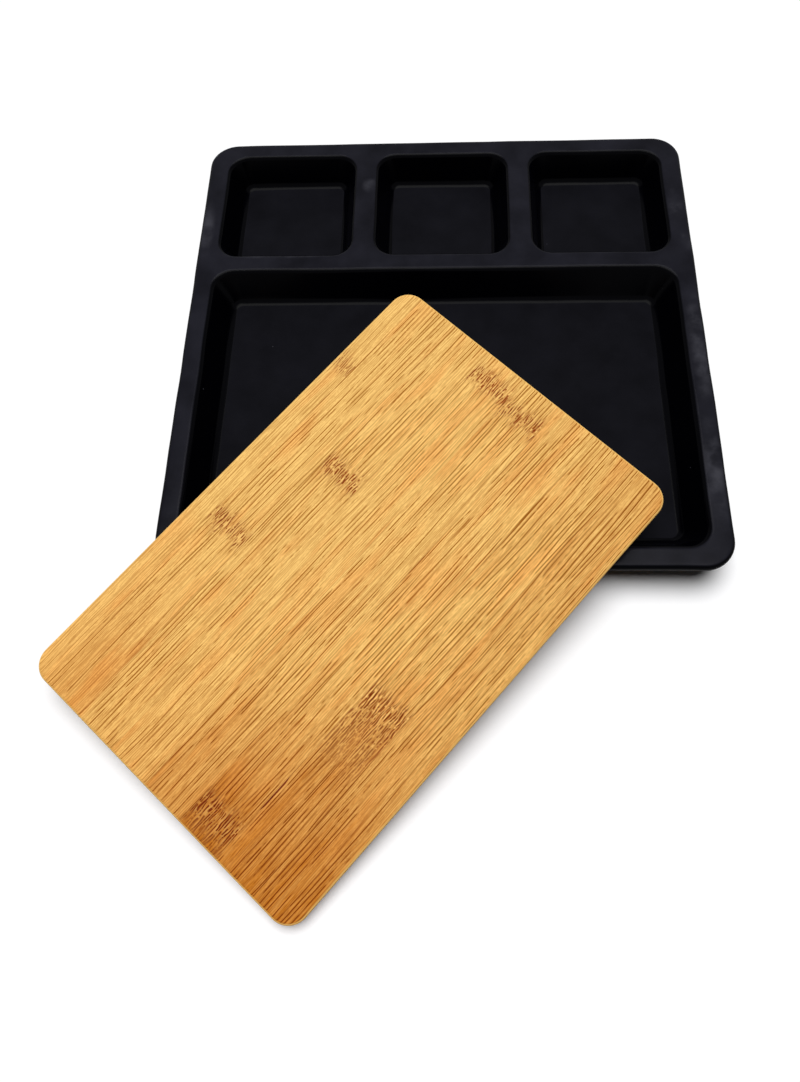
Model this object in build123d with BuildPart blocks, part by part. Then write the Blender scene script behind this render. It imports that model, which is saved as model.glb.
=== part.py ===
# Appetizer tray: a black moulded tray with three small pockets behind one large pocket, and a
# bamboo board, edge-glued from strips, that leans on the tray's front rim with one corner on the table.
# Origin: centre of the tray's underside, on the table. +X right, +Y back to the small pockets, +Z up.
from build123d import *
import os
from dataclasses import dataclass
from math import acos, atan2, cos, degrees, hypot, radians, sin

# Tray, driving dimensions in mm
tray_width = 250.0
tray_depth = 246.0
rim_width = 10.0
rim_thickness = 4.5
rim_corner_radius = 14.0
rim_edge_radius = 2.1
pocket_depth = 15.0
floor_thickness = 5.0
wall_thickness = 4.0
pocket_corner_radius = 10.0
pocket_edge_radius = 2.8
floor_corner_radius = 5.0
floor_fillet_radius = 4.0
foot_edge_radius = 3.0
under_rim_radius = 1.5

# Row of small pockets at the back
small_pocket_count = 3
small_pocket_length = 67.0
small_side_rim = 11.0
small_rib_width = 12.0
small_wall_run = 6.0

# Large pocket at the front
large_wall_run = 8.0

# Bamboo board
board_length = 230.0
board_width = 150.0
board_thickness = 9.0
board_corner_radius = 9.0
board_edge_radius = 1.5
strip_count = 8
ripped_strip_width = 10.0

# How the board leans: turned about the vertical, its middle a little in front of the rim
board_yaw = 48.54
board_middle_x = -35.75
board_middle_past_rim = 9.7
lean_clearance = 0.25

# Tray, worked out
tray_height = pocket_depth + floor_thickness
rim_underside = tray_height - rim_thickness
rim_round = min(rim_edge_radius, 0.48 * rim_thickness)
floor_fillet = min(floor_fillet_radius, 0.9 * floor_corner_radius)
front_edge_y = -tray_depth / 2
large_pocket_width = tray_width - 2 * rim_width
large_pocket_length = tray_depth - small_pocket_length - 3 * rim_width
large_pocket_y = front_edge_y + rim_width + large_pocket_length / 2
small_ribs_width = (small_pocket_count - 1) * small_rib_width
small_pocket_width = (tray_width - 2 * small_side_rim - small_ribs_width) / small_pocket_count
small_pocket_y = tray_depth / 2 - rim_width - small_pocket_length / 2
small_pocket_pitch = small_pocket_width + small_rib_width


@dataclass
class Pocket:
    """One pocket: the middle and size of its opening, and how far its wall runs in from rim to floor."""

    x: float
    y: float
    width: float
    length: float
    wall_run: float

    def size(self, height, grow=0.0):
        """Width and length between the walls at a height, grown outwards on every side."""
        change = 2 * (grow - self.wall_run * (tray_height - height) / pocket_depth)
        return self.width + change, self.length + change

    def corner(self, height, grow=0.0):
        """Corner radius of the wall at a height."""
        drop = (tray_height - height) / pocket_depth
        return pocket_corner_radius + (floor_corner_radius - pocket_corner_radius) * drop + grow

    def wall_across(self):
        """Wall thickness measured level, through the slanted wall."""
        return wall_thickness * hypot(self.wall_run, pocket_depth) / pocket_depth


pockets = [Pocket(0, large_pocket_y, large_pocket_width, large_pocket_length, large_wall_run)]
for column in range(small_pocket_count):
    column_x = (column - (small_pocket_count - 1) / 2) * small_pocket_pitch
    pockets.append(Pocket(column_x, small_pocket_y, small_pocket_width, small_pocket_length, small_wall_run))

# Tray: a flat rim with a tub hanging under each pocket, then the pockets cut down into the tubs
with BuildPart() as tray:
    with BuildSketch(Plane.XY.offset(rim_underside)):
        RectangleRounded(tray_width, tray_depth, rim_corner_radius)
    extrude(amount=rim_thickness)
    fillet(tray.faces().filter_by(Axis.Z).edges(), rim_round)
    for pocket in pockets:
        wall = pocket.wall_across()
        for height in (0, rim_underside + rim_thickness / 2):
            with BuildSketch(Plane((pocket.x, pocket.y, height))):
                RectangleRounded(*pocket.size(height, wall), pocket.corner(height, wall))
        loft()
    tub_bases = tray.faces().filter_by(Axis.Z).group_by(Axis.Z)[0]
    fillet(tub_bases.edges(), foot_edge_radius)
    under_rim = tray.faces().filter_by(Axis.Z).group_by(Axis.Z)[1][0]
    fillet([edge for wire in under_rim.inner_wires() for edge in wire.edges()], under_rim_radius)
    for pocket in pockets:
        for height in (floor_thickness, tray_height):
            with BuildSketch(Plane((pocket.x, pocket.y, height))):
                RectangleRounded(*pocket.size(height), pocket.corner(height))
        loft(mode=Mode.SUBTRACT)
    floors = tray.faces().filter_by(Axis.Z).group_by(Axis.Z)[1]
    fillet(floors.edges(), floor_fillet)
    rim_top = tray.faces().filter_by(Axis.Z).sort_by(Axis.Z)[-1]
    fillet([edge for wire in rim_top.inner_wires() for edge in wire.edges()], pocket_edge_radius)
tray.part.label = "tray"

# The board's tilt: its underside rests on the rounded front rim, and its nearest corner on the table.
# corner_reach runs down the slope from the middle of the rim's rounding to the board's lowest point.
rim_round_y = front_edge_y + rim_round
rim_round_z = tray_height - rim_round
underside_lift = rim_round + lean_clearance
yaw = radians(board_yaw)
corner_reach = (
    board_middle_past_rim
    + (board_length / 2 - board_corner_radius) * sin(yaw)
    + (board_width / 2 - board_corner_radius) * cos(yaw)
    + board_corner_radius - board_edge_radius
)
edge_lift = underside_lift + board_edge_radius
table_drop = rim_round_z - board_edge_radius
tilt = acos(-table_drop / hypot(edge_lift, corner_reach)) - atan2(corner_reach, edge_lift)

# Board frame: x along the grain, y across the strips, z out of the top face, origin mid top face
slope = Vector(0, cos(tilt), sin(tilt))
board_up = Vector(0, -sin(tilt), cos(tilt))
over_rim = Vector(board_middle_x, rim_round_y, rim_round_z) + board_up * (underside_lift + board_thickness)
board_middle = over_rim - slope * board_middle_past_rim
grain = Vector(cos(yaw), 0, 0) + slope * sin(yaw)
board_plane = Plane(origin=board_middle, x_dir=grain, z_dir=board_up)

# Strips across the board: a narrow ripped one at the upper edge, then full ones that share the rest
full_strip_width = (board_width - ripped_strip_width) / (strip_count - 1)
strip_edge = board_width / 2
strips = []
for number in range(1, strip_count + 1):
    strip_width = ripped_strip_width if number == 1 else full_strip_width
    with BuildPart() as strip:
        with BuildSketch(board_plane):
            RectangleRounded(board_length, board_width, board_corner_radius)
        extrude(amount=-board_thickness)
        fillet(strip.faces().filter_by(board_plane).edges(), board_edge_radius)
        with BuildSketch(board_plane):
            with Locations((0, strip_edge - strip_width / 2)):
                Rectangle(board_length, strip_width)
        extrude(amount=-board_thickness, mode=Mode.INTERSECT)
    strip.part.label = f"bamboo_strip_{number}"
    strips.append(strip.part)
    strip_edge -= strip_width

os.makedirs("parts", exist_ok=True)
for piece in [tray.part, *strips]:
    export_step(piece, f"parts/{piece.label}.step")
print(f"tilt {degrees(tilt):.2f} degrees, board middle {board_middle}")
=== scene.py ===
"""Appetizer tray: a black moulded tray and the bamboo board that leans on its rim, finished and staged."""
from math import atan2, pi, radians, tan
from typing import NamedTuple

import bmesh
import bpy
from bpy.props import FloatProperty, FloatVectorProperty, IntProperty, PointerProperty
from mathutils import Matrix, Vector


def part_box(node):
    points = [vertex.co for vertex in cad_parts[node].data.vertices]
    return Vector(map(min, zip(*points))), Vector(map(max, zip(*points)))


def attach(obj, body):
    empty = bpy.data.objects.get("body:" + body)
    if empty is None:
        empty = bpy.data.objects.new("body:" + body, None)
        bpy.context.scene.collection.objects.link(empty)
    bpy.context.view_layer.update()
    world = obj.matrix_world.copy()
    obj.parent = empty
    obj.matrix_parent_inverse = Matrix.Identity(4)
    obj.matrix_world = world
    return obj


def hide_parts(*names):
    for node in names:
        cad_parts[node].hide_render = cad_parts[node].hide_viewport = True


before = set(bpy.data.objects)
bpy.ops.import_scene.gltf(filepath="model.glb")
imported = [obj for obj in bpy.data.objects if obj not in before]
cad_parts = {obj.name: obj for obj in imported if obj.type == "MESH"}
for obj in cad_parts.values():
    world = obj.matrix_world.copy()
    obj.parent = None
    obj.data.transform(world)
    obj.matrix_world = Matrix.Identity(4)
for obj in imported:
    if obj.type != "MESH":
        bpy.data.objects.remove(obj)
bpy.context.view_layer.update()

bl_info = {
    "name": "Appetizer Tray",
    "version": (1, 0, 0),
    "blender": (4, 5, 0),
    "location": "3D View > Sidebar > Appetizer Tray",
    "description": "Models the moulded tray, finishes the bamboo board and sets up the studio",
    "category": "Object",
}

MM = 0.001
TABLE_SIZE = 12.0       # metres, wide enough for every view from above
NOWHERE = 300 * MM      # past the board's end, for a strip that has no such mark
TRAY_LOW, TRAY_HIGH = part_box("tray")
TRAY_SIZE = TRAY_HIGH - TRAY_LOW
STRIPS = sorted(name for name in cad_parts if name.startswith("bamboo_strip"))

# Settings shared by nodes of the same kind in the materials
SMOOTH = {"interpolation_type": "SMOOTHSTEP"}
COLOUR_MIX = {"data_type": "RGBA"}
COLOUR_OVERMIX = {"data_type": "RGBA", "clamp_factor": False}
COLOUR_TINT = {"data_type": "RGBA", "blend_type": "MULTIPLY"}
SEEDED = {"noise_dimensions": "4D"}


def linear(hex_colour):
    """Linear RGB of an sRGB colour written as #rrggbb."""
    parts = [int(hex_colour[place:place + 2], 16) / 255 for place in (1, 3, 5)]
    return [part / 12.92 if part <= 0.04045 else ((part + 0.055) / 1.055) ** 2.4 for part in parts]


def opaque(colour):
    """A colour with full alpha, as a node's colour socket takes it."""
    return (*colour, 1.0)


class TrayShape(bpy.types.PropertyGroup):
    """Sizes of the moulded tray."""

    width: FloatProperty(
        name="Width", description="Left to right, over the rim", default=TRAY_SIZE.x, unit="LENGTH")
    depth: FloatProperty(
        name="Depth", description="Front to back, over the rim", default=TRAY_SIZE.y, unit="LENGTH")
    height: FloatProperty(
        name="Height", description="Table to the top of the rim", default=TRAY_SIZE.z, unit="LENGTH")
    rim_width: FloatProperty(
        name="Rim width", description="Flat rim in front, behind and beside the large pocket",
        default=10 * MM, unit="LENGTH")
    side_rim_width: FloatProperty(
        name="Side rim width", description="Flat rim beside the row of small pockets",
        default=11 * MM, unit="LENGTH")
    rib_width: FloatProperty(
        name="Rib width", description="Rib between two small pockets", default=12 * MM, unit="LENGTH")
    small_length: FloatProperty(
        name="Small pocket length", description="Front to back", default=67 * MM, unit="LENGTH")
    small_count: IntProperty(name="Small pockets", description="How many stand in the row", default=3)
    small_wall_run: FloatProperty(
        name="Small wall run", description="How far a small pocket's wall leans in from rim to floor",
        default=6 * MM, unit="LENGTH")
    large_wall_run: FloatProperty(
        name="Large wall run", description="How far the large pocket's wall leans in from rim to floor",
        default=8 * MM, unit="LENGTH")
    floor_height: FloatProperty(
        name="Floor height", description="Table to the floor of a pocket", default=5 * MM, unit="LENGTH")
    wall: FloatProperty(
        name="Wall", description="Thickness of the slanted walls", default=4 * MM, unit="LENGTH")
    rim_thickness: FloatProperty(
        name="Rim thickness", description="Rim, top to underside", default=4.5 * MM, unit="LENGTH")
    rim_corner: FloatProperty(
        name="Rim corner", description="Corner radius of the outline", default=14 * MM, unit="LENGTH")
    pocket_corner: FloatProperty(
        name="Pocket corner", description="Corner radius of a pocket at the rim",
        default=10 * MM, unit="LENGTH")
    floor_corner: FloatProperty(
        name="Floor corner", description="Corner radius of a pocket at its floor",
        default=5 * MM, unit="LENGTH")
    pocket_edge: FloatProperty(
        name="Pocket edge", description="Rounding from the rim into a pocket",
        default=2.8 * MM, unit="LENGTH")
    floor_fillet: FloatProperty(
        name="Floor fillet", description="Rounding from a wall to the floor",
        default=4 * MM, unit="LENGTH")
    rim_edge: FloatProperty(
        name="Rim edge", description="Rounding of the rim's outer edge", default=2.1 * MM, unit="LENGTH")
    foot_edge: FloatProperty(
        name="Foot edge", description="Rounding around the base", default=3 * MM, unit="LENGTH")
    under_rim: FloatProperty(
        name="Under the rim", description="Rounding from the rim's underside to the outer wall",
        default=1.5 * MM, unit="LENGTH")
    waviness: FloatProperty(
        name="Waviness", description="Full swing of the noise that waves the moulded edges",
        default=0.7 * MM, unit="LENGTH")


class TrayFinish(bpy.types.PropertyGroup):
    """Colours of the tray's matt black plastic, and of the sheen painted on it."""

    black: FloatVectorProperty(
        name="Black", description="Colour of the plastic", size=3, subtype="COLOR",
        default=linear("#010103"))
    # Painted sheen: the rim's grey stands in for the light it reflects
    rim_sheen_colour: FloatVectorProperty(
        name="Handled", description="Film that handling leaves on the rim", size=3, subtype="COLOR",
        default=linear("#1b1b22"))
    # Painted sheen: the floors' grey stands in for the light they reflect
    sheened: FloatVectorProperty(
        name="Scuffed", description="Colour of the scuffed floors", size=3, subtype="COLOR",
        default=linear("#0c0c11"))
    # Lighter places on the rim: partly rubbing, partly painted sheen
    pale_sheen: FloatVectorProperty(
        name="Worn", description="Colour of a rubbed place on the rim", size=3, subtype="COLOR",
        default=linear("#3a3a41"))


class BambooFinish(bpy.types.PropertyGroup):
    """Colours and grain of the oiled bamboo strips."""

    pale: FloatVectorProperty(
        name="Pale", description="Lightest ground between the fibres", size=3, subtype="COLOR",
        default=linear("#ffcd76"))
    deep: FloatVectorProperty(
        name="Deep", description="Darkest ground between the fibres", size=3, subtype="COLOR",
        default=linear("#c4751a"))
    blush: FloatVectorProperty(
        name="Blush", description="Warmer patches of the ground", size=3, subtype="COLOR",
        default=linear("#fdb05a"))
    fibre: FloatVectorProperty(
        name="Fibre", description="Tint of the fibre bundles over the ground", size=3, subtype="COLOR",
        default=linear("#a27800"))
    knuckle: FloatVectorProperty(
        name="Knuckle", description="Ground of a knuckle", size=3, subtype="COLOR",
        default=linear("#c88338"))
    knuckle_mark: FloatVectorProperty(
        name="Knuckle mark", description="Tint of the crossing fibres in a knuckle", size=3,
        subtype="COLOR", default=linear("#9a5800"))
    fibre_pitch: FloatProperty(
        name="Fibre pitch", description="Spacing of the fibre bundles", default=1.7 * MM, unit="LENGTH")
    fibre_width: FloatProperty(
        name="Fibre width", description="Width of a fibre bundle", default=0.43 * MM, unit="LENGTH")
    fibre_length: FloatProperty(
        name="Fibre length", description="About how long a fibre bundle shows",
        default=26 * MM, unit="LENGTH")
    tones: FloatVectorProperty(
        name="Tones", description="How deep each strip's ground is: pale near 0 and below, deep at 1",
        size=8, default=(-0.34, -0.07, -0.02, -0.12, 0.03, 0.09, 0.18, 0.31))
    # Painted shade: how much each strip darkens towards the board's low end
    low_end_shades: FloatVectorProperty(
        name="Low end tones", description="How much deeper each strip gets towards the board's low end",
        size=8, default=(0.34, 0.38, 0.16, 0.28, 0.45, 0.66, 0.70, 0.58))
    knuckle_places: FloatVectorProperty(
        name="Knuckle places",
        description="Distance of each strip's knuckle from the board's low end; past the end there is none",
        size=8, unit="LENGTH",
        default=(184 * MM, 97 * MM, 147 * MM, 220 * MM, 216 * MM, 14 * MM, 88 * MM, NOWHERE))
    knuckle_tails: FloatVectorProperty(
        name="Knuckle tails", description="How far the crossing fibres run towards the low end",
        size=8, unit="LENGTH",
        default=(4 * MM, 4 * MM, 6 * MM, 6 * MM, 5 * MM, 14 * MM, 34 * MM, 4 * MM))
    knuckle_depths: FloatVectorProperty(
        name="Knuckle depths", description="How strongly each strip's knuckle shows, from 0 to 1",
        size=8, default=(0.72, 1.0, 1.0, 1.0, 1.0, 1.0, 1.0, 1.0))
    seam_places: FloatVectorProperty(
        name="Seam places",
        description="Distance of each strip's open seam from the low end; past the end there is none",
        size=8, unit="LENGTH", default=(*[NOWHERE] * 6, 33 * MM, NOWHERE))
    seam_length: FloatProperty(
        name="Seam length", description="Length of an open seam", default=20 * MM, unit="LENGTH")


class StageLook(bpy.types.PropertyGroup):
    """Table, light and camera."""

    table: FloatVectorProperty(
        name="Table", description="Colour of the table", size=3, subtype="COLOR",
        default=linear("#f4f4f5"))
    table_burn: FloatProperty(
        name="Table burn", description="How much lighter the camera sees the table", default=1.13)
    table_bounce: FloatProperty(
        name="Table bounce", description="Share of the table's light that reaches the object", default=0.4)
    key_strength: FloatProperty(
        name="Key light", description="Strength of the soft light overhead", default=3.14)
    key_spread: FloatProperty(
        name="Key spread", description="How wide the soft light is, seen from the table",
        default=radians(46), subtype="ANGLE")
    key_tilt: FloatProperty(
        name="Key tilt", description="How far the soft light stands behind the zenith",
        default=radians(7), subtype="ANGLE")
    ambient: FloatProperty(
        name="Ambient", description="Strength of the light from all around", default=0.015)
    lens: FloatProperty(
        name="Lens", description="Focal length, on a picture 36 mm high", default=26.92)
    camera_place: FloatVectorProperty(
        name="Camera", description="Place of the camera", size=3, subtype="TRANSLATION",
        default=(-0.0002, -0.2448, 0.3409))
    camera_pitch: FloatProperty(
        name="Pitch", description="Camera's angle from straight down", default=radians(22.75),
        subtype="ANGLE")
    camera_heading: FloatProperty(
        name="Heading", description="Camera's turn about the vertical", default=radians(7.28),
        subtype="ANGLE")
    camera_roll: FloatProperty(
        name="Roll", description="Camera's turn about its own line of sight", default=radians(-6.43),
        subtype="ANGLE")


class Pocket(NamedTuple):
    """A pocket's middle and opening, and how far its wall leans in from rim to floor."""

    x: float
    y: float
    width: float
    length: float
    wall_run: float


def tray_pockets(shape):
    """The large pocket in front and the row of small pockets behind it."""
    large_length = shape.depth - shape.small_length - 3 * shape.rim_width
    large_y = -shape.depth / 2 + shape.rim_width + large_length / 2
    pockets = [Pocket(0, large_y, shape.width - 2 * shape.rim_width, large_length, shape.large_wall_run)]
    ribs = (shape.small_count - 1) * shape.rib_width
    small_width = (shape.width - 2 * shape.side_rim_width - ribs) / shape.small_count
    small_y = shape.depth / 2 - shape.rim_width - shape.small_length / 2
    for column in range(shape.small_count):
        x = (column - (shape.small_count - 1) / 2) * (small_width + shape.rib_width)
        pockets.append(Pocket(x, small_y, small_width, shape.small_length, shape.small_wall_run))
    return pockets


def choose(kind, test):
    """In edit mode, selects the vertices, edges or faces that pass a test, and nothing else."""
    bpy.ops.mesh.select_mode(type=kind)
    bpy.ops.mesh.select_all(action="DESELECT")
    mesh = bpy.context.object.data
    shape = bmesh.from_edit_mesh(mesh)
    for element in {"VERT": shape.verts, "EDGE": shape.edges, "FACE": shape.faces}[kind]:
        if test(element):
            element.select_set(True)
    bmesh.update_edit_mesh(mesh)


def add_outline(middle, width, length, corner, steps=10):
    """In edit mode, adds a flat face with rounded corners and leaves it selected."""
    bpy.ops.mesh.select_all(action="DESELECT")
    bpy.ops.mesh.primitive_plane_add(size=1, location=middle)
    bpy.ops.transform.resize(value=(width, length, 1), center_override=middle)
    bpy.ops.mesh.bevel(offset=corner, segments=steps, affect="VERTICES")


def side_of(face):
    """Which side of the tray a face of the sharp-edged shell is on."""
    if face.normal.z > 0.99:
        return "top"
    if face.normal.z > 0.1:
        return "inner wall"
    if face.normal.z > -0.1:
        return "rim edge"
    if face.normal.z > -0.99:
        return "outer wall"
    return "underside"


def soften(sides, height, radius, turn, steps):
    """In edit mode, rounds the edges between two sides of the tray at one height."""
    def wanted(edge):
        level = all(abs(vertex.co.z - height) < 0.2 * MM for vertex in edge.verts)
        return level and {side_of(face) for face in edge.link_faces} == set(sides)
    choose("EDGE", wanted)
    bpy.ops.mesh.bevel(offset=radius * tan(turn / 2), segments=steps, affect="EDGES")


def slice_evenly(reach, direction, pitch):
    """In edit mode, cuts the whole mesh across at an even pitch, so that it can take a slight wave."""
    count = int(reach / pitch)
    for step in range(count):
        place = (step + 0.5 - count / 2) * pitch
        bpy.ops.mesh.select_all(action="SELECT")
        bpy.ops.mesh.bisect(plane_co=direction * place, plane_no=direction)


def apply_modifier(kind, **settings):
    """Adds a modifier to the active object, sets it and applies it."""
    bpy.ops.object.modifier_add(type=kind)
    modifier = bpy.context.object.modifiers[-1]
    for name, value in settings.items():
        setattr(modifier, name, value)
    bpy.ops.object.modifier_apply(modifier=modifier.name)


def model_tray(shape):
    """Models the tray as a sheet with pockets pressed into it, thickened downwards and rounded."""
    pockets = tray_pockets(shape)
    bpy.ops.object.select_all(action="DESELECT")
    bpy.ops.mesh.primitive_plane_add(size=1, enter_editmode=True)
    tray = bpy.context.object
    tray.name = "moulded_tray"

    # Rim: the outline with the pockets' openings left out
    bpy.ops.mesh.delete(type="FACE")
    add_outline((0, 0, shape.height), shape.width, shape.depth, shape.rim_corner)
    for pocket in pockets:
        add_outline((pocket.x, pocket.y, shape.height), pocket.width, pocket.length, shape.pocket_corner)
    choose("FACE", lambda face: True)
    bpy.ops.mesh.delete(type="ONLY_FACE")
    choose("EDGE", lambda edge: True)
    bpy.ops.mesh.fill(use_beauty=True)
    bpy.ops.mesh.dissolve_limited(angle_limit=radians(1))

    # Pockets: each floor is joined to its opening by a slanted wall
    for pocket in pockets:
        floor_width = pocket.width - 2 * pocket.wall_run
        floor_length = pocket.length - 2 * pocket.wall_run
        add_outline((pocket.x, pocket.y, shape.floor_height), floor_width, floor_length, shape.floor_corner)

        def around_pocket(edge):
            middle = (edge.verts[0].co + edge.verts[1].co) / 2
            in_width = abs(middle.x - pocket.x) < pocket.width / 2 + MM
            in_length = abs(middle.y - pocket.y) < pocket.length / 2 + MM
            return edge.is_boundary and in_width and in_length
        choose("EDGE", around_pocket)
        bpy.ops.mesh.bridge_edge_loops()
    bpy.ops.mesh.select_all(action="SELECT")
    bpy.ops.mesh.normals_make_consistent(inside=False)
    rim_faces = [face for face in bmesh.from_edit_mesh(tray.data).faces
                 if all(abs(vertex.co.z - shape.height) < 0.1 * MM for vertex in face.verts)]
    if rim_faces[0].normal.z < 0:
        bpy.ops.mesh.flip_normals()

    # Thickness: even through the walls, then the floors and the rim are brought to their own
    bpy.ops.object.mode_set(mode="OBJECT")
    apply_modifier("SOLIDIFY", thickness=shape.wall, offset=-1, use_even_offset=True)
    bpy.ops.object.mode_set(mode="EDIT")
    rim_underside = shape.height - shape.rim_thickness
    for level in (0, rim_underside):
        choose("FACE", lambda face: side_of(face) == "underside"
               and abs(face.calc_center_median().z - level) < 2 * MM)
        bpy.ops.transform.resize(value=(1, 1, 0), center_override=(0, 0, level))

    # Roundings
    wall_turn = pi / 2 - atan2(shape.large_wall_run, shape.height - shape.floor_height)
    soften(("top", "inner wall"), shape.height, shape.pocket_edge, wall_turn, steps=6)
    soften(("top", "inner wall"), shape.floor_height, shape.floor_fillet, wall_turn, steps=6)
    soften(("top", "rim edge"), shape.height, shape.rim_edge, pi / 2, steps=6)
    soften(("underside", "rim edge"), rim_underside, shape.rim_edge, pi / 2, steps=6)
    soften(("underside", "outer wall"), rim_underside, shape.under_rim, wall_turn, steps=4)
    soften(("underside", "outer wall"), 0, shape.foot_edge, wall_turn, steps=4)

    # A slight wave in the edges, as the moulding has
    slice_evenly(shape.width, Vector((1, 0, 0)), pitch=6 * MM)
    slice_evenly(shape.depth, Vector((0, 1, 0)), pitch=6 * MM)
    bpy.ops.mesh.select_all(action="SELECT")
    bpy.ops.mesh.remove_doubles(threshold=0.02 * MM)
    bpy.ops.object.mode_set(mode="OBJECT")
    for direction, wave_length in (("X", 26 * MM), ("Y", 33 * MM)):
        wave = bpy.data.textures.new(f"mould_wave_{direction.lower()}", type="CLOUDS")
        wave.noise_scale = wave_length
        wave.noise_depth = 1
        apply_modifier("DISPLACE", texture=wave, texture_coords="LOCAL", direction=direction,
                       strength=shape.waviness, mid_level=0.5)
    bpy.ops.object.shade_smooth_by_angle(angle=radians(40))
    apply_modifier("WEIGHTED_NORMAL", keep_sharp=True)
    return tray


def add_node(tree, kind, settings=None, inputs=None, out=0):
    """Adds a shader node with its settings, gives each input a value or a link, and returns one output."""
    node = tree.nodes.new("ShaderNode" + kind)
    for name, value in (settings or {}).items():
        setattr(node, name, value)
    for name, value in (inputs or {}).items():
        if isinstance(value, bpy.types.NodeSocket):
            tree.links.new(value, node.inputs[name])
        else:
            node.inputs[name].default_value = value
    return node.outputs[out] if node.outputs else None


def new_material(name):
    """An empty node material, and its node tree."""
    material = bpy.data.materials.new(name)
    material.use_nodes = True
    material.node_tree.nodes.clear()
    return material, material.node_tree


def black_melamine(finish, shape):
    """Melamine, moulded black with a matt tool finish.

    It has almost no colour of its own: slanted walls stay black, and rounded edges carry a thin line
    of light. A soft grey sheen is painted on the rim and a fainter one on the floors, and lighter places on
    the rim are partly rubbing and partly painted sheen.
    """
    grit = 0.9 * MM       # real grit is about 0.2 mm, drawn coarser so that it shows
    sink = 22 * MM        # slow unevenness from shrinking in the mould
    material, tree = new_material("moulded_black_melamine")
    spot = add_node(tree, "TexCoord", out="Object")

    # The rim's flat top and the pockets' flat floors, told by their height
    height = add_node(tree, "SeparateXYZ", inputs={"Vector": spot}, out="Z")
    on_rim = add_node(tree, "MapRange", SMOOTH, {
        "Value": height, "From Min": shape.height - 0.35 * MM, "From Max": shape.height - 0.03 * MM})
    on_floor = add_node(tree, "MapRange", SMOOTH, {
        "Value": height, "From Min": shape.floor_height + 0.14 * MM,
        "From Max": shape.floor_height + 0.05 * MM})

    # Lighter places on the rim, partly rubbing and partly painted sheen, with a painted highlight along the
    # left small pocket's front edge: middle, and reach across and along
    side = shape.width / 2 - 3 * MM
    rubbed_and_sheen = None
    for x, y, across, along in (
        (side - 3 * MM, 74 * MM, 5 * MM, 14 * MM),
        (side, 52 * MM, 4 * MM, 8 * MM),
        (side - 1 * MM, -10 * MM, 6 * MM, 42 * MM),
        (side - 2 * MM, -78 * MM, 6 * MM, 36 * MM),
        (-side, 62 * MM, 5 * MM, 24 * MM),
        (-38 * MM, 92 * MM, 5 * MM, 6 * MM),
        (-84 * MM, 46 * MM, 30 * MM, 3 * MM),
    ):
        place = add_node(tree, "VectorMath", {"operation": "SUBTRACT"}, {0: spot, 1: (x, y, shape.height)})
        place = add_node(tree, "VectorMath", {"operation": "MULTIPLY"}, {
            0: place, 1: (1 / across, 1 / along, 1 / across)})
        away = add_node(tree, "VectorMath", {"operation": "LENGTH"}, {0: place}, out="Value")
        near = add_node(tree, "MapRange", SMOOTH, {"Value": away, "From Min": 1.0, "From Max": 0.2})
        rubbed_and_sheen = near if rubbed_and_sheen is None else add_node(
            tree, "Math", {"operation": "MAXIMUM"}, {0: rubbed_and_sheen, 1: near})
    blotch = add_node(tree, "TexNoise", inputs={"Vector": spot, "Scale": 1 / (9 * MM), "Detail": 4.0})
    blotch = add_node(tree, "MapRange", SMOOTH, {
        "Value": blotch, "From Min": 0.36, "From Max": 0.74, "To Min": 0.1})
    rubbed_and_sheen = add_node(tree, "Math", {"operation": "MULTIPLY"}, {0: rubbed_and_sheen, 1: blotch})
    rubbed_and_sheen = add_node(tree, "Math", {"operation": "MULTIPLY"}, {0: rubbed_and_sheen, 1: on_rim})

    # Specks of dust: a dot in a few of the cells
    cells = add_node(tree, "TexVoronoi", inputs={"Vector": spot, "Scale": 1 / (14 * MM)}, out="Distance")
    dot = add_node(tree, "MapRange", SMOOTH, {"Value": cells, "From Min": 0.035, "From Max": 0.015})
    chance = add_node(tree, "SeparateColor", inputs={"Color": cells.node.outputs["Color"]}, out="Red")
    dot = add_node(tree, "Math", {"operation": "MULTIPLY"}, {
        0: dot, 1: add_node(tree, "Math", {"operation": "GREATER_THAN"}, {0: chance, 1: 0.82})})
    marks = add_node(tree, "Math", {"operation": "MAXIMUM"}, {0: rubbed_and_sheen, 1: dot})

    # Painted sheen on the rim and a fainter painted sheen on the floors, heavier in some places than in
    # others
    uneven_sheen = add_node(tree, "TexNoise", inputs={"Vector": spot, "Scale": 1 / (16 * MM), "Detail": 4.0})
    uneven_sheen = add_node(tree, "MapRange", inputs={
        "Value": uneven_sheen, "From Min": 0.3, "From Max": 0.7, "To Min": 0.55, "To Max": 1.25})
    # Painted sheen on the rim, uneven from place to place
    rim_sheen = add_node(tree, "Math", {"operation": "MULTIPLY"}, {0: on_rim, 1: uneven_sheen})
    # Painted sheen on the floors, fainter than the rim's
    floor_sheen = add_node(tree, "Math", {"operation": "MULTIPLY"}, {0: on_floor, 1: uneven_sheen})
    colour = add_node(tree, "Mix", COLOUR_OVERMIX, {
        0: rim_sheen, 6: opaque(finish.black), 7: opaque(finish.rim_sheen_colour)}, out=2)
    colour = add_node(tree, "Mix", COLOUR_OVERMIX, {
        0: floor_sheen, 6: colour, 7: opaque(finish.sheened)}, out=2)
    # Dust specks, and lighter places that are partly rubbing and partly painted sheen and highlight
    colour = add_node(tree, "Mix", COLOUR_MIX, {0: marks, 6: colour, 7: opaque(finish.pale_sheen)}, out=2)

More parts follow.
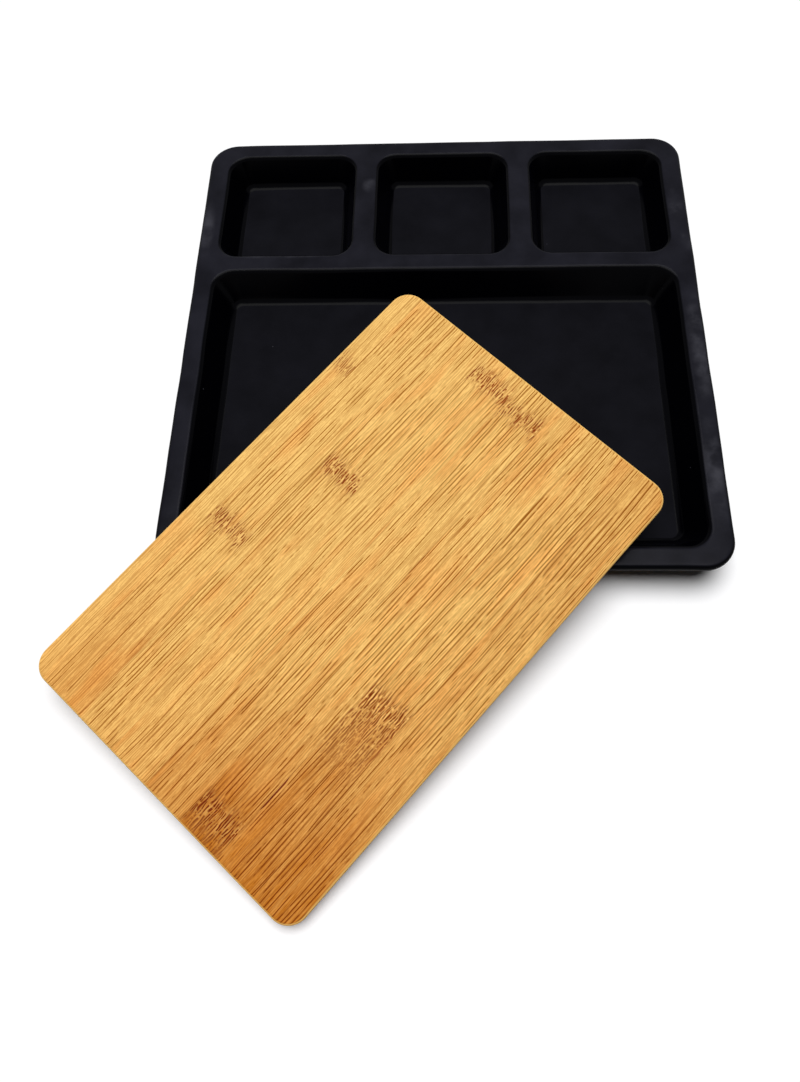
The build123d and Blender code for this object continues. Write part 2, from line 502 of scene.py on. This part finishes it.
    # Roughness: highest on the floors, a little uneven, and higher on the lighter marks
    patches = add_node(tree, "TexNoise", inputs={"Vector": spot, "Scale": 1 / (30 * MM), "Detail": 4.0})
    roughness = add_node(tree, "MapRange", SMOOTH, {
        "Value": height, "From Min": shape.floor_height + 0.04 * MM,
        "From Max": shape.floor_height + 0.12 * MM, "To Min": 0.55, "To Max": 0.16})
    roughness = add_node(tree, "Math", {"operation": "MULTIPLY_ADD"}, {0: patches, 1: 0.12, 2: roughness})
    roughness = add_node(tree, "Math", {"operation": "MULTIPLY_ADD"}, {0: marks, 1: 0.2, 2: roughness})

    # Surface: grit from the tool on top of slow sinks
    sinks = add_node(tree, "TexNoise", inputs={"Vector": spot, "Scale": 1 / sink, "Detail": 1.0})
    slow = add_node(tree, "Bump", inputs={
        "Strength": 0.5, "Distance": 0.5 * MM, "Height": sinks}, out="Normal")
    grains = add_node(tree, "TexNoise", inputs={"Vector": spot, "Scale": 1 / grit, "Detail": 2.0})
    relief = add_node(tree, "Bump", inputs={
        "Strength": 0.25, "Distance": 0.03 * MM, "Height": grains, "Normal": slow}, out="Normal")

    shader = add_node(tree, "BsdfPrincipled", inputs={
        "Base Color": colour, "Roughness": roughness, "IOR": 1.5, "Specular IOR Level": 0.025,
        "Normal": relief})
    add_node(tree, "OutputMaterial", inputs={"Surface": shader})
    return material


def board_axes():
    """The board's own frame: x along the grain, y across the strips to strip 1, z out of its top face."""
    # The largest faces of a full strip are its top and underside, and the next its long sides
    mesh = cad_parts[STRIPS[3]].data
    faces = sorted(mesh.polygons, key=lambda face: face.area, reverse=True)
    up = faces[0].normal * (1 if faces[0].normal.z > 0 else -1)
    across = next(face.normal.copy() for face in faces if abs(face.normal.dot(up)) < 0.1)
    first, last = (sum(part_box(name), Vector()) / 2 for name in (STRIPS[0], STRIPS[-1]))
    if across.dot(first - last) < 0:
        across.negate()
    turn = Matrix((across.cross(up), across, up)).transposed()
    inward = turn.transposed()
    points = [inward @ vertex.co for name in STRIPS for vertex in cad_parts[name].data.vertices]
    low = [min(point[axis] for point in points) for axis in range(3)]
    high = [max(point[axis] for point in points) for axis in range(3)]
    middle = turn @ Vector(((low[0] + high[0]) / 2, (low[1] + high[1]) / 2, high[2]))
    return Matrix.Translation(middle) @ turn.to_4x4()


def streaks(tree, board, length, pitch, seed, detail=0.0, out="Fac"):
    """Noise drawn out along the grain: marks about that long, and that pitch apart across the strip."""
    drawn_out = add_node(tree, "Mapping", inputs={
        "Vector": board, "Scale": (1 / length, 1 / pitch, 1 / pitch)})
    return add_node(tree, "TexNoise", SEEDED, {
        "Vector": drawn_out, "W": seed, "Scale": 1.0, "Detail": detail}, out)


def fibre_lines(tree, grain, pitch, width, length, seed):
    """Broken lines along the grain: one to each pitch across the strip, wandering about its place."""
    side_rows = 1.4     # the board's sides show lines too, this many times as close as its top
    row_gap = 3.1       # keeps the noise of neighbouring lines apart
    along, across, depth = add_node(tree, "SeparateXYZ", inputs={"Vector": grain}).node.outputs
    across = add_node(tree, "Math", {"operation": "MULTIPLY_ADD"}, {0: depth, 1: side_rows, 2: across})
    across = add_node(tree, "Math", {"operation": "DIVIDE"}, {0: across, 1: pitch})
    count = add_node(tree, "Math", {"operation": "FLOOR"}, {0: across})
    row = add_node(tree, "Math", {"operation": "MULTIPLY"}, {0: count, 1: row_gap})
    wander = add_node(tree, "CombineXYZ", inputs={
        "X": add_node(tree, "Math", {"operation": "DIVIDE"}, {0: along, 1: 2.5 * length}),
        "Y": row, "Z": -seed})
    place = add_node(tree, "TexNoise", inputs={"Vector": wander, "Scale": 1.0, "Detail": 0.0})
    place = add_node(tree, "MapRange", inputs={
        "Value": place, "From Min": 0.25, "From Max": 0.75, "To Min": 0.15, "To Max": 0.85})
    off = add_node(tree, "Math", {"operation": "FRACT"}, {0: across})
    off = add_node(tree, "Math", {"operation": "SUBTRACT"}, {0: off, 1: place})
    off = add_node(tree, "Math", {"operation": "ABSOLUTE"}, {0: off})
    body = add_node(tree, "MapRange", SMOOTH, {
        "Value": off, "From Min": 0.58 * width / pitch, "From Max": 0.42 * width / pitch})
    run = add_node(tree, "CombineXYZ", inputs={
        "X": add_node(tree, "Math", {"operation": "DIVIDE"}, {0: along, 1: length}),
        "Y": row, "Z": seed})
    shown = add_node(tree, "TexNoise", inputs={
        "Vector": run, "Scale": 1.0, "Detail": 4.5, "Roughness": 0.6})
    shown = add_node(tree, "MapRange", SMOOTH, {"Value": shown, "From Min": 0.40, "From Max": 0.51})
    return add_node(tree, "Math", {"operation": "MULTIPLY"}, {0: body, 1: shown})


def oiled_bamboo(finish, number, axes):
    """Bamboo, split, planed and glued into a board, then sanded and oiled.

    Each strip is a straw-gold ground with brown fibre bundles as fine broken lines along the grain.
    Where the stem had a knuckle, the fibres cross in a band of short dark marks.
    """
    material, tree = new_material(f"oiled_bamboo_{number + 1}")
    seed = 3.7 * (number + 1)       # each strip has its own noise
    fringe = 16 * MM                # how far a knuckle's ragged edge swings
    name = STRIPS[number]
    inward = axes.inverted()
    points = [inward @ vertex.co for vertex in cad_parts[name].data.vertices]
    strip_low, strip_high = min(point.y for point in points), max(point.y for point in points)
    board_end = min(point.x for point in points)

    spot = add_node(tree, "TexCoord", out="Object")
    board = add_node(tree, "Mapping", {"vector_type": "TEXTURE"}, {
        "Vector": spot, "Location": axes.to_translation(), "Rotation": axes.to_euler()})

    # Knuckle: a ragged band with a head in front and a fainter tail behind, and a halo around both
    along, offset, sink = add_node(tree, "SeparateXYZ", inputs={"Vector": board}).node.outputs
    tail = finish.knuckle_tails[number]
    past = add_node(tree, "Math", {"operation": "SUBTRACT"}, {
        0: along, 1: board_end + finish.knuckle_places[number] + fringe / 2})
    ragged = streaks(tree, board, length=12 * MM, pitch=2 * MM, seed=seed + 11, detail=3.0)
    past = add_node(tree, "Math", {"operation": "MULTIPLY_ADD"}, {0: ragged, 1: fringe, 2: past})
    ahead = add_node(tree, "Math", {"operation": "SUBTRACT"}, {0: past, 1: 3 * MM})
    behind = add_node(tree, "Math", {"operation": "SUBTRACT"}, {0: -tail, 1: past})
    beyond = add_node(tree, "Math", {"operation": "MAXIMUM"}, {0: ahead, 1: behind})
    band = add_node(tree, "MapRange", SMOOTH, {
        "Value": beyond, "From Min": 3 * MM, "From Max": -3 * MM, "To Max": finish.knuckle_depths[number]})
    head = add_node(tree, "MapRange", SMOOTH, {"Value": past, "From Min": -12 * MM, "From Max": -5 * MM})
    head = add_node(tree, "Math", {"operation": "MULTIPLY"}, {0: band, 1: head})
    fade = add_node(tree, "MapRange", inputs={
        "Value": past, "From Min": -tail - 4 * MM, "From Max": -4 * MM, "To Min": 0.22})
    knuckle = add_node(tree, "Math", {"operation": "MULTIPLY"}, {0: band, 1: fade})
    halo = add_node(tree, "MapRange", SMOOTH, {"Value": beyond, "From Min": 16 * MM, "From Max": 0.0})

    # Fibres wander a little along the strip, and lean across each other in a knuckle
    drift = streaks(tree, board, length=70 * MM, pitch=9 * MM, seed=seed + 5, detail=1.0, out="Color")
    drift = add_node(tree, "VectorMath", {"operation": "MULTIPLY_ADD"}, {
        0: drift, 1: (0, 1.6 * MM, 1.6 * MM), 2: board})
    crossing = streaks(tree, board, length=6 * MM, pitch=2.2 * MM, seed=seed + 7, detail=1.0, out="Color")
    crossing = add_node(tree, "VectorMath", {"operation": "SUBTRACT"}, {0: crossing, 1: (0.5, 0.5, 0.5)})
    crossing = add_node(tree, "VectorMath", {"operation": "SCALE"}, {0: crossing, "Scale": knuckle})
    grain = add_node(tree, "VectorMath", {"operation": "MULTIPLY_ADD"}, {
        0: crossing, 1: (0, 1.5 * MM, 0), 2: drift})

    # Ground: slow change of tone along and across the strip, deeper at the knuckle, and painted shade that
    # darkens it towards the board's low end
    tone = streaks(tree, grain, length=40 * MM, pitch=2.4 * MM, seed=seed, detail=3.0)
    tone = add_node(tree, "MapRange", inputs={
        "Value": tone, "From Min": 0.25, "From Max": 0.75,
        "To Min": finish.tones[number] - 0.2, "To Max": finish.tones[number] + 0.2})
    # Painted shade: the strip darkens and warms towards the board's low end
    low_end_shade = add_node(tree, "MapRange", SMOOTH, {
        "Value": along, "From Min": board_end + 110 * MM, "From Max": board_end - 20 * MM,
        "To Max": finish.low_end_shades[number]})
    tone = add_node(tree, "Math", {"operation": "ADD"}, {0: tone, 1: low_end_shade})
    tone = add_node(tree, "Math", {"operation": "MULTIPLY_ADD"}, {0: halo, 1: 0.12, 2: tone})
    flecks = streaks(tree, grain, length=5 * MM, pitch=0.55 * MM, seed=seed + 13, detail=2.0)
    flecks = add_node(tree, "MapRange", inputs={
        "Value": flecks, "From Min": 0.3, "From Max": 0.7, "To Min": -0.16, "To Max": 0.16})
    tone = add_node(tree, "Math", {"operation": "ADD"}, {0: tone, 1: flecks})
    patches = streaks(tree, grain, length=35 * MM, pitch=6 * MM, seed=seed + 9, detail=2.0)
    patches = add_node(tree, "MapRange", SMOOTH, {
        "Value": patches, "From Min": 0.45, "From Max": 0.70, "To Max": 0.5})
    # More of the warmer patches in the painted shade at the low end
    patches = add_node(tree, "Math", {"operation": "ADD"}, {0: patches, 1: low_end_shade})
    colour = add_node(tree, "Mix", COLOUR_MIX, {
        0: patches, 6: opaque(finish.pale), 7: opaque(finish.blush)}, out=2)
    colour = add_node(tree, "Mix", COLOUR_MIX, {0: tone, 6: colour, 7: opaque(finish.deep)}, out=2)
    colour = add_node(tree, "Mix", COLOUR_MIX, {
        0: add_node(tree, "Math", {"operation": "MULTIPLY"}, {0: head, 1: 0.3}),
        6: colour, 7: opaque(finish.knuckle)}, out=2)

    # Fibre bundles: broken dark lines, crowded in some bands, around the knuckle and in the painted shade
    # at the low end, over finer ones
    crowd = streaks(tree, board, length=60 * MM, pitch=3.4 * MM, seed=seed + 2, detail=2.0)
    crowd = add_node(tree, "MapRange", SMOOTH, {
        "Value": crowd, "From Min": 0.32, "From Max": 0.54, "To Min": 0.4})
    crowd = add_node(tree, "Math", {"operation": "MAXIMUM"}, {0: crowd, 1: halo})
    crowd = add_node(tree, "Math", {"operation": "MAXIMUM"}, {0: crowd, 1: low_end_shade})
    parted = add_node(tree, "MapRange", inputs={
        "Value": knuckle, "To Min": 1.0 + finish.tones[number], "To Max": 0.2})
    crowd = add_node(tree, "Math", {"operation": "MULTIPLY"}, {0: crowd, 1: parted})
    bundles = fibre_lines(tree, grain, finish.fibre_pitch, finish.fibre_width, finish.fibre_length, seed)
    fibres = add_node(tree, "Math", {"operation": "MULTIPLY"}, {0: bundles, 1: crowd})
    fine = fibre_lines(tree, grain, 0.45 * finish.fibre_pitch, 0.7 * finish.fibre_width,
                       0.6 * finish.fibre_length, seed + 20)
    fine = add_node(tree, "Math", {"operation": "MULTIPLY"}, {0: fine, 1: 0.46})
    fibres = add_node(tree, "Math", {"operation": "MAXIMUM"}, {0: fibres, 1: fine})
    dashes = fibre_lines(tree, grain, pitch=0.9 * MM, width=0.36 * MM, length=2.2 * MM, seed=seed + 80)
    dashes = add_node(tree, "Math", {"operation": "MULTIPLY"}, {0: dashes, 1: 0.3})
    fibres = add_node(tree, "Math", {"operation": "MAXIMUM"}, {0: fibres, 1: dashes})
    colour = add_node(tree, "Mix", COLOUR_TINT, {0: fibres, 6: colour, 7: opaque(finish.fibre)}, out=2)

    # Short dark strokes in the knuckle, with pale strokes beside them that are painted glints
    knuckle_glints = fibre_lines(tree, grain, pitch=1.3 * MM, width=0.5 * MM, length=2 * MM, seed=seed + 60)
    knuckle_glints = add_node(tree, "Math", {"operation": "MULTIPLY"}, {0: knuckle_glints, 1: head})
    # The painted glints are fainter in the painted shade at the low end
    bright = add_node(tree, "MapRange", inputs={
        "Value": low_end_shade, "From Max": 0.5, "To Min": 0.85, "To Max": 0.25})
    knuckle_glints = add_node(tree, "Math", {"operation": "MULTIPLY"}, {0: knuckle_glints, 1: bright})
    colour = add_node(tree, "Mix", COLOUR_MIX, {0: knuckle_glints, 6: colour, 7: opaque(finish.pale)}, out=2)
    strokes = fibre_lines(tree, grain, pitch=1.0 * MM, width=0.52 * MM, length=2.6 * MM, seed=seed + 40)
    marks = add_node(tree, "Math", {"operation": "MULTIPLY"}, {0: strokes, 1: knuckle})
    colour = add_node(tree, "Mix", COLOUR_TINT, {
        0: marks, 6: colour, 7: opaque(finish.knuckle_mark)}, out=2)

    # Painted highlight: the rounding around the top face is drawn paler, as a thin line of light along the
    # edge
    pale_sheen = add_node(tree, "MapRange", SMOOTH, {
        "Value": sink, "From Min": -0.05 * MM, "From Max": -0.3 * MM})
    below = add_node(tree, "MapRange", SMOOTH, {
        "Value": sink, "From Min": -1.2 * MM, "From Max": -1.8 * MM, "To Min": 0.85, "To Max": 0.0})
    pale_sheen = add_node(tree, "Math", {"operation": "MULTIPLY"}, {0: pale_sheen, 1: below})
    colour = add_node(tree, "Mix", COLOUR_MIX, {0: pale_sheen, 6: colour, 7: opaque(finish.pale)}, out=2)

    # Glue line: the strip's two edges are a shade darker, and the upper one may gape in one place
    half = (strip_high - strip_low) / 2
    offset = add_node(tree, "Math", {"operation": "SUBTRACT"}, {0: offset, 1: (strip_low + strip_high) / 2})
    glue = add_node(tree, "MapRange", SMOOTH, {
        "Value": add_node(tree, "Math", {"operation": "ABSOLUTE"}, {0: offset}),
        "From Min": half - 0.35 * MM, "From Max": half, "To Max": 0.3})
    colour = add_node(tree, "Mix", COLOUR_TINT, {0: glue, 6: colour, 7: opaque(finish.fibre)}, out=2)
    seam = add_node(tree, "Math", {"operation": "SUBTRACT"}, {
        0: along, 1: board_end + finish.seam_places[number]})
    seam = add_node(tree, "Math", {"operation": "ABSOLUTE"}, {0: seam})
    seam = add_node(tree, "MapRange", SMOOTH, {
        "Value": seam, "From Min": finish.seam_length / 2, "From Max": finish.seam_length / 4,
        "To Max": 0.7 * MM})
    gape = add_node(tree, "Math", {"operation": "SUBTRACT"}, {0: half, 1: seam})
    gape = add_node(tree, "Math", {"operation": "GREATER_THAN"}, {0: offset, 1: gape})
    colour = add_node(tree, "Mix", COLOUR_TINT, {
        0: gape, 6: colour, 7: opaque(finish.knuckle_mark)}, out=2)

    # Surface: fibres and marks are open pores, a little below the sanded ground and duller
    pores = add_node(tree, "Math", {"operation": "MAXIMUM"}, {0: fibres, 1: marks})
    roughness = add_node(tree, "Math", {"operation": "MULTIPLY_ADD"}, {0: pores, 1: 0.18, 2: 0.5})
    relief = add_node(tree, "Bump", {"invert": True}, {
        "Strength": 0.22, "Distance": 0.06 * MM, "Height": pores}, out="Normal")
    shader = add_node(tree, "BsdfPrincipled", inputs={
        "Base Color": colour, "Roughness": roughness, "IOR": 1.48, "Specular IOR Level": 0.08,
        "Normal": relief})
    add_node(tree, "OutputMaterial", inputs={"Surface": shader})
    return material


def seen_directly(tree):
    """1 for what the camera sees straight, mirrored or through glass, and 0 for what only gives light."""
    rays = add_node(tree, "LightPath", out="Is Camera Ray")
    seen = add_node(tree, "Math", {"operation": "MAXIMUM"}, {
        0: rays, 1: rays.node.outputs["Is Glossy Ray"]})
    return add_node(tree, "Math", {"operation": "MAXIMUM"}, {
        0: seen, 1: rays.node.outputs["Is Transmission Ray"]})


def white_table(look):
    """Painted board, matt white: it shows the soft shadows and otherwise burns out to white."""
    material, tree = new_material("white_table")
    burnt = [part * look.table_burn for part in look.table]
    bounced = [part * look.table_bounce for part in look.table]
    colour = add_node(tree, "Mix", COLOUR_MIX, {
        0: seen_directly(tree), 6: opaque(bounced), 7: opaque(burnt)}, out=2)
    paint = add_node(tree, "BsdfDiffuse", inputs={"Color": colour})
    add_node(tree, "OutputMaterial", inputs={"Surface": paint})
    return material


class APPETIZER_OT_tray(bpy.types.Operator):
    """Models the moulded tray in place of its plain solid"""

    bl_idname = "appetizer.tray"
    bl_label = "Moulded tray"

    def execute(self, context):
        shape = context.scene.appetizer_tray
        tray = model_tray(shape)
        tray.data.materials.append(black_melamine(context.scene.appetizer_tray_finish, shape))
        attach(tray, "tray")
        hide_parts("tray")
        return {"FINISHED"}


class APPETIZER_OT_board(bpy.types.Operator):
    """Gives each strip of the board its own piece of bamboo"""

    bl_idname = "appetizer.board"
    bl_label = "Bamboo strips"

    def execute(self, context):
        axes = board_axes()
        for number, name in enumerate(STRIPS):
            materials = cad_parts[name].data.materials
            materials.clear()
            materials.append(oiled_bamboo(context.scene.appetizer_bamboo, number, axes))
        return {"FINISHED"}


class APPETIZER_OT_stage(bpy.types.Operator):
    """Sets the table, the soft light and the camera"""

    bl_idname = "appetizer.stage"
    bl_label = "Stage"

    def execute(self, context):
        look = context.scene.appetizer_stage
        bpy.ops.object.select_all(action="DESELECT")
        bpy.ops.mesh.primitive_plane_add(size=TABLE_SIZE)
        table = context.object
        table.name = "table"
        table.data.materials.append(white_table(look))

        bpy.ops.object.light_add(type="SUN", location=(0, 0, 1), rotation=(-look.key_tilt, 0, 0))
        key = context.object
        key.name = "key_light"
        key.data.energy = look.key_strength
        key.data.angle = look.key_spread

        world = bpy.data.worlds.new("studio")
        context.scene.world = world
        world.use_nodes = True
        tree = world.node_tree
        tree.nodes.clear()
        level = add_node(tree, "MapRange", inputs={"Value": seen_directly(tree), "To Min": look.ambient})
        sky = add_node(tree, "Background", inputs={"Color": opaque((1, 1, 1)), "Strength": level})
        add_node(tree, "OutputWorld", inputs={"Surface": sky})

        bpy.ops.object.camera_add()
        camera = context.object
        camera.matrix_world = (
            Matrix.Translation(look.camera_place)
            @ Matrix.Rotation(look.camera_heading, 4, "Z")
            @ Matrix.Rotation(look.camera_pitch, 4, "X")
            @ Matrix.Rotation(look.camera_roll, 4, "Z")
        )
        camera.data.sensor_fit = "VERTICAL"
        camera.data.sensor_height = 36
        camera.data.lens = look.lens
        camera.data.clip_start = 0.01
        context.scene.camera = camera
        context.scene.view_settings.view_transform = "Standard"
        return {"FINISHED"}


class APPETIZER_PT_sidebar(bpy.types.Panel):
    """Lists the pieces and the sizes and colours that can be changed"""

    bl_label = "Appetizer Tray"
    bl_space_type = "VIEW_3D"
    bl_region_type = "UI"
    bl_category = "Appetizer Tray"

    def draw(self, context):
        for operator, groups in (
            (APPETIZER_OT_tray, ("appetizer_tray", "appetizer_tray_finish")),
            (APPETIZER_OT_board, ("appetizer_bamboo",)),
            (APPETIZER_OT_stage, ("appetizer_stage",)),
        ):
            box = self.layout.box()
            box.operator(operator.bl_idname)
            for group in groups:
                settings = getattr(context.scene, group)
                for name in settings.__annotations__:
                    box.prop(settings, name)


SETTINGS = {
    "appetizer_tray": TrayShape,
    "appetizer_tray_finish": TrayFinish,
    "appetizer_bamboo": BambooFinish,
    "appetizer_stage": StageLook,
}
CLASSES = (
    *SETTINGS.values(), APPETIZER_OT_tray, APPETIZER_OT_board, APPETIZER_OT_stage, APPETIZER_PT_sidebar)


def register():
    for each in CLASSES:
        bpy.utils.register_class(each)
    for name, group in SETTINGS.items():
        setattr(bpy.types.Scene, name, PointerProperty(type=group))


def unregister():
    for name in SETTINGS:
        delattr(bpy.types.Scene, name)
    for each in reversed(CLASSES):
        bpy.utils.unregister_class(each)


def main():
    register()
    bpy.ops.appetizer.tray()
    bpy.ops.appetizer.board()
    bpy.ops.appetizer.stage()


if __name__ == "__main__":
    main()
